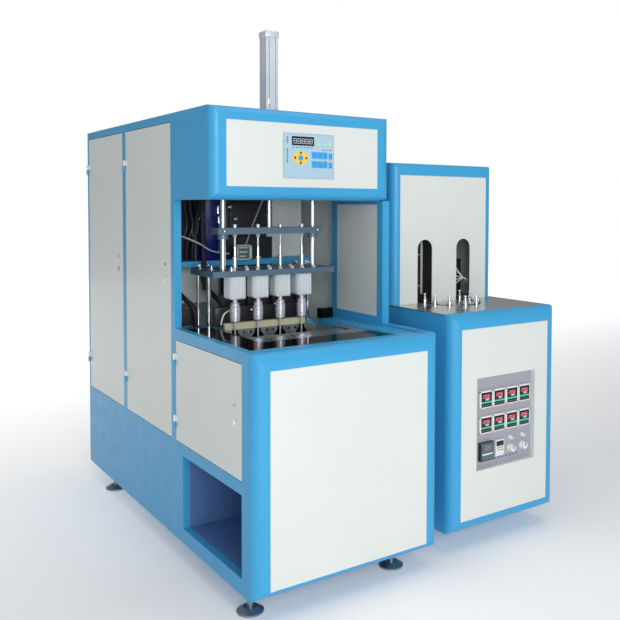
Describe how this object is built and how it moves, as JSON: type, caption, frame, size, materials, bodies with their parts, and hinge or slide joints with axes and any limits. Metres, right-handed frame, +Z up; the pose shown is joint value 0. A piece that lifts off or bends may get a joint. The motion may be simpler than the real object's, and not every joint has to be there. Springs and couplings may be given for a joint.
{
  "type": "bottle blow moulding machine",
  "caption": "Two-part bottle blow moulding machine: blow unit with sliding mould, stretch rods and overhead cylinder, beside a preform heating oven with an oval spindle track.",
  "frame": {"origin": "middle of the bounding box, on the floor", "axes": "+Z up, +X to the right seen from the front, +Y from the front to the back"},
  "size_m": [1.5894, 1.97, 2.245],
  "materials": {
    "blue_paint": "semi-gloss",
    "cream_paint": "semi-gloss",
    "dark_blue_paint": "satin",
    "black_paint": "gloss",
    "black_rubber": "matt",
    "stainless": "brushed",
    "steel": "ground",
    "chrome": "polished",
    "aluminium": "satin",
    "zinc": "zinc plated",
    "pale_plastic": "satin film",
    "black_plastic": "gloss",
    "white_plastic": "gloss",
    "lamp_glass": "satin"
  },
  "bodies": {
    "machine": {"base_frame": "blue_paint", "left_side_frame": "blue_paint", "right_side_frame": "blue_paint", "top_cover": "blue_paint", "head_bezel": "blue_paint", "lower_bezel": "blue_paint", "oven_cabinet": "blue_paint", "oven_bezel": "blue_paint", "tower_shell": "blue_paint", "tower_bezel": "blue_paint", "cross_shelf": "blue_paint", "top_bridge": "blue_paint", "rear_panel": "cream_paint", "head_panel": "cream_paint", "lower_panel": "cream_paint", "right_side_panels": "cream_paint", "oven_panel": "cream_paint", "tower_panel": "cream_paint", "neck_bar": "cream_paint", "valve_box": "cream_paint", "recess_tray": "dark_blue_paint", "air_tank": "dark_blue_paint", "black_table_strip": "black_paint", "stop_block": "black_paint", "air_hoses": "black_rubber", "table_plate": "stainless", "oven_table": "stainless", "seal_plate": "steel", "fixed_mould_half": "steel", "control_plate": "steel", "columns": "chrome", "mould_tie_bars": "chrome", "spindles": "chrome", "seal_cylinders": "aluminium", "stretch_cylinder": "aluminium", "clamp_cylinder": "aluminium", "levelling_feet": "zinc", "control_keypad": "pale_plastic", "temperature_controllers": "black_plastic", "meter_and_counter": "black_plastic", "lamp_bank": "lamp_glass"},
    "rear_door": {"rear_door": "cream_paint"},
    "rear_lock": {"rear_door_lock": "chrome"},
    "middle_door": {"middle_door": "cream_paint"},
    "middle_lock": {"middle_door_lock": "chrome"},
    "front_door": {"front_door": "cream_paint"},
    "front_lock": {"front_door_lock": "chrome"},
    "stretch_unit": {"stretch_plate": "steel", "stretch_rods": "chrome", "piston_rod": "chrome"},
    "nozzle_1": {"blow_nozzle_1": "aluminium"},
    "nozzle_2": {"blow_nozzle_2": "aluminium"},
    "nozzle_3": {"blow_nozzle_3": "aluminium"},
    "nozzle_4": {"blow_nozzle_4": "aluminium"},
    "mould_carriage": {"moving_mould_half": "steel", "moving_platen": "steel"},
    "large_knob_1": {"large_knob_1": "white_plastic"},
    "large_knob_2": {"large_knob_2": "white_plastic"},
    "small_knob_1": {"small_knob_1": "white_plastic"},
    "small_knob_2": {"small_knob_2": "white_plastic"}
  },
  "joints": [
    {"name": "rear_door_hinge", "type": "hinge", "parent": "machine", "child": "rear_door", "pos_m": [-0.78875, 0.963, 1.164], "axis": [0, 0, -1], "range_deg": [0, 110]},
    {"name": "rear_lock_turn", "type": "hinge", "parent": "rear_door", "child": "rear_lock", "pos_m": [-0.78225, 0.462, 1.169], "axis": [1, 0, 0], "range_deg": [0, 90]},
    {"name": "middle_door_hinge", "type": "hinge", "parent": "machine", "child": "middle_door", "pos_m": [-0.78875, 0.36, 1.164], "axis": [0, 0, -1], "range_deg": [0, 110]},
    {"name": "middle_lock_turn", "type": "hinge", "parent": "middle_door", "child": "middle_lock", "pos_m": [-0.78225, -0.161, 1.169], "axis": [1, 0, 0], "range_deg": [0, 90]},
    {"name": "front_door_hinge", "type": "hinge", "parent": "machine", "child": "front_door", "pos_m": [-0.78875, -0.267, 0.71], "axis": [0, 0, -1], "range_deg": [0, 110]},
    {"name": "front_lock_turn", "type": "hinge", "parent": "front_door", "child": "front_lock", "pos_m": [-0.78225, -0.832, 0.7], "axis": [1, 0, 0], "range_deg": [0, 90]},
    {"name": "stretch_slide", "type": "slide", "parent": "machine", "child": "stretch_unit", "axis": [0, 0, 1], "range_m": [-0.04, 0.22]},
    {"name": "nozzle_1_slide", "type": "slide", "parent": "machine", "child": "nozzle_1", "axis": [0, 0, -1], "range_m": [0, 0.025]},
    {"name": "nozzle_2_slide", "type": "slide", "parent": "machine", "child": "nozzle_2", "axis": [0, 0, -1], "range_m": [0, 0.025]},
    {"name": "nozzle_3_slide", "type": "slide", "parent": "machine", "child": "nozzle_3", "axis": [0, 0, -1], "range_m": [0, 0.025]},
    {"name": "nozzle_4_slide", "type": "slide", "parent": "machine", "child": "nozzle_4", "axis": [0, 0, -1], "range_m": [0, 0.025]},
    {"name": "mould_slide", "type": "slide", "parent": "machine", "child": "mould_carriage", "axis": [0, 1, 0], "range_m": [0, 0.199]},
    {"name": "large_knob_1_turn", "type": "hinge", "parent": "machine", "child": "large_knob_1", "pos_m": [0.52575, -0.913, 0.4], "axis": [0, -1, 0], "range_deg": [-45, 45]},
    {"name": "large_knob_2_turn", "type": "hinge", "parent": "machine", "child": "large_knob_2", "pos_m": [0.60175, -0.913, 0.4], "axis": [0, -1, 0], "range_deg": [-45, 45]},
    {"name": "small_knob_1_turn", "type": "hinge", "parent": "machine", "child": "small_knob_1", "pos_m": [0.52575, -0.913, 0.447], "axis": [0, -1, 0], "range_deg": [-150, 150]},
    {"name": "small_knob_2_turn", "type": "hinge", "parent": "machine", "child": "small_knob_2", "pos_m": [0.60175, -0.913, 0.447], "axis": [0, -1, 0], "range_deg": [-150, 150]}
  ],
  "couplings": [
    {"joint": "nozzle_2_slide", "follows": "nozzle_1_slide", "ratio": 1},
    {"joint": "nozzle_3_slide", "follows": "nozzle_1_slide", "ratio": 1},
    {"joint": "nozzle_4_slide", "follows": "nozzle_1_slide", "ratio": 1}
  ]
}
